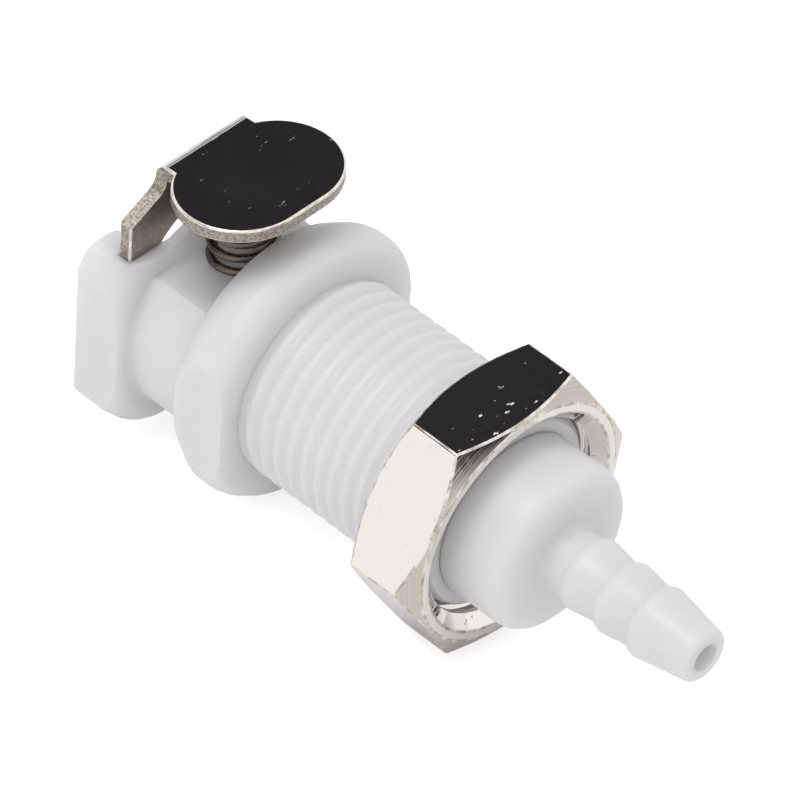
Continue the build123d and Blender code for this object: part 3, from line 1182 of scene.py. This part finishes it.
@dataclass
class Studio:
    """Pale floor, soft lights, the cards that bright metal shows, and the camera.

    Lengths are in millimetres. The surround is the world's strength on the piece, and the
    floor's lift is the glow that only the lens sees.
    """

    floor_z: float = -8.72
    floor_half: float = 600.0
    floor_lift: float = 0.55
    surround: float = 0.66
    distance: float = 582.915
    focal: float = 465.3
    back: Vec3 = (0.48799235, -0.5286975, 0.69450877)
    up: Vec3 = (-0.5142201, 0.46880403, 0.7181925)
    aim: Vec3 = (-0.48090192, 0.53326499, -0.69596106)
    key: SoftBox = SoftBox("key", (-0.1, -0.3, 0.95), 700, 300, 1.35)
    cards: Tuple[Card, ...] = (
        Card("flag_over_pad", (-0.51, 0.53, 0.68), 210, 210, "#201f22"),
        Card("flag_beyond_barb", (0.985, 0.09, 0.165), 260, 148, "#141415"),
        Card("flag_over_shoulder", (-0.49, -0.66, 0.56), 300, 120, "#29292a"),
        Card("flag_low_behind", (-0.80, 0.53, 0.27), 190, 130, "#b9b8c2"))

    def camera(self) -> None:
        """A long lens on the flow axis from above and behind the hose barb."""
        data = bpy.data.cameras.new("camera")
        data.sensor_width = 36.0
        data.lens = self.focal
        data.clip_start, data.clip_end = 0.01, 20.0
        cam = bpy.data.objects.new("camera", data)
        bpy.context.scene.collection.objects.link(cam)
        z = -Vector(self.aim).normalized()
        x = Vector(self.up).cross(z).normalized()
        y = z.cross(x)
        turn = Matrix((x, y, z)).transposed().to_4x4()
        cam.matrix_world = Matrix.Translation(Vector(self.back) * self.distance * MM) @ turn
        bpy.context.scene.camera = cam

    def floor(self) -> None:
        """A white floor: plain white to the lens and in the metal, with the soft shadow kept."""
        half = self.floor_half
        corners = np.array([(-half, -half, self.floor_z), (half, -half, self.floor_z),
                            (half, half, self.floor_z), (-half, half, self.floor_z)])
        plane = mesh_object("floor", corners, np.array([[0, 1, 2, 3]]))
        material = bpy.data.materials.new("floor_white_paper")
        material.use_nodes = True
        tree = material.node_tree
        tree.nodes.clear()
        matt = add(tree, "ShaderNodeBsdfDiffuse", {"Color": linear("#ffffff")})
        path = add(tree, "ShaderNodeLightPath")
        lift = add(tree, "ShaderNodeMath", {
            "operation": "MULTIPLY", 0: path.outputs["Is Camera Ray"], 1: self.floor_lift})
        glow = add(tree, "ShaderNodeEmission", {"Color": linear("#ffffff")},
                   Strength=lift.outputs[0])
        both = add(tree, "ShaderNodeAddShader", {
            0: matt.outputs["BSDF"], 1: glow.outputs["Emission"]})
        add(tree, "ShaderNodeOutputMaterial", Surface=both.outputs["Shader"])
        dress(plane, material)

    def sky(self) -> None:
        """An even white surround, white to the lens and softer on the piece."""
        world = bpy.data.worlds.new("studio")
        bpy.context.scene.world = world
        world.use_nodes = True
        tree = world.node_tree
        tree.nodes.clear()
        path = add(tree, "ShaderNodeLightPath")
        seen = add(tree, "ShaderNodeMath", {
            "operation": "MAXIMUM", 0: path.outputs["Is Camera Ray"],
            1: path.outputs["Is Glossy Ray"]})
        wide = add(tree, "ShaderNodeMath", {
            "operation": "MAXIMUM", 0: seen.outputs[0], 1: path.outputs["Is Transmission Ray"]})
        soft = add(tree, "ShaderNodeBackground", {
            "Color": linear("#ffffff"), "Strength": self.surround})
        white = add(tree, "ShaderNodeBackground", {"Color": linear("#ffffff"), "Strength": 1.0})
        mix = add(tree, "ShaderNodeMixShader", {
            0: wide.outputs[0], 1: soft.outputs["Background"], 2: white.outputs["Background"]})
        add(tree, "ShaderNodeOutputWorld", Surface=mix.outputs["Shader"])

    def build(self) -> None:
        """Camera, surround, floor, lamp and cards."""
        self.camera()
        self.sky()
        self.floor()
        self.key.build()
        for card in self.cards:
            card.build()
        bpy.context.scene.view_settings.view_transform = "Standard"


def latch_spring() -> WireSpring:
    """The spring under the thumb pad, placed by its CAD box.

    Returns:
        The spring, not yet built.
    """
    low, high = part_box("latch_spring")
    x = (low.x + high.x) / 2 / MM
    return WireSpring("spring_under_pad", "latch_spring", start=(x, 0.0, low.z / MM),
                      axis=(0.0, 0.0, 1.0), length=(high.z - low.z) / MM, mean_radius=1.86,
                      wire=0.27, turns=5, start_angle=math.radians(190))


def pin_spring() -> WireSpring:
    """The small spring behind the latch pin, placed by its CAD box.

    Returns:
        The spring, not yet built.
    """
    low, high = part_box("pin_spring")
    z = (low.z + high.z) / 2 / MM
    return WireSpring("spring_of_pin", "pin_spring", start=(low.x / MM, 0.0, z),
                      axis=(1.0, 0.0, 0.0), length=(high.x - low.x) / MM, mean_radius=0.38,
                      wire=0.1, turns=5)


def valve_spring() -> WireSpring:
    """The spring that shuts the valve, placed by its CAD box.

    Returns:
        The spring, not yet built.
    """
    low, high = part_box("valve_spring")
    return WireSpring("spring_of_valve", "valve_spring", start=(low.x / MM, 0.0, 0.0),
                      axis=(1.0, 0.0, 0.0), length=(high.x - low.x) / MM, mean_radius=2.9,
                      wire=0.22, turns=4)


def main() -> None:
    """Builds the studio and every piece."""
    logging.basicConfig(level=logging.INFO, format="%(message)s")
    for old in list(bpy.data.objects):
        bpy.data.objects.remove(old)
    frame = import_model()
    nodes = frame["nodes"]
    Studio().build()
    body = MouldedBody().build(nodes["coupling_body"])
    nut = PanelNut().build(nodes["panel_nut"])
    latch = ThumbLatch().build(nodes["thumb_latch"])
    barb = BarbTermination().build(nodes["barb_termination"])
    InnerPieces().build(nodes)
    springs = [latch_spring().build(Body.BODY, Body.LATCH),
               pin_spring().build(Body.PIN, Body.BODY),
               valve_spring().build(Body.VALVE, Body.BODY)]
    for piece in (body, nut, latch, barb, *springs):
        LOG.info("piece %s: %d faces", piece.name, len(piece.data.polygons))


if __name__ == "__main__":
    main()
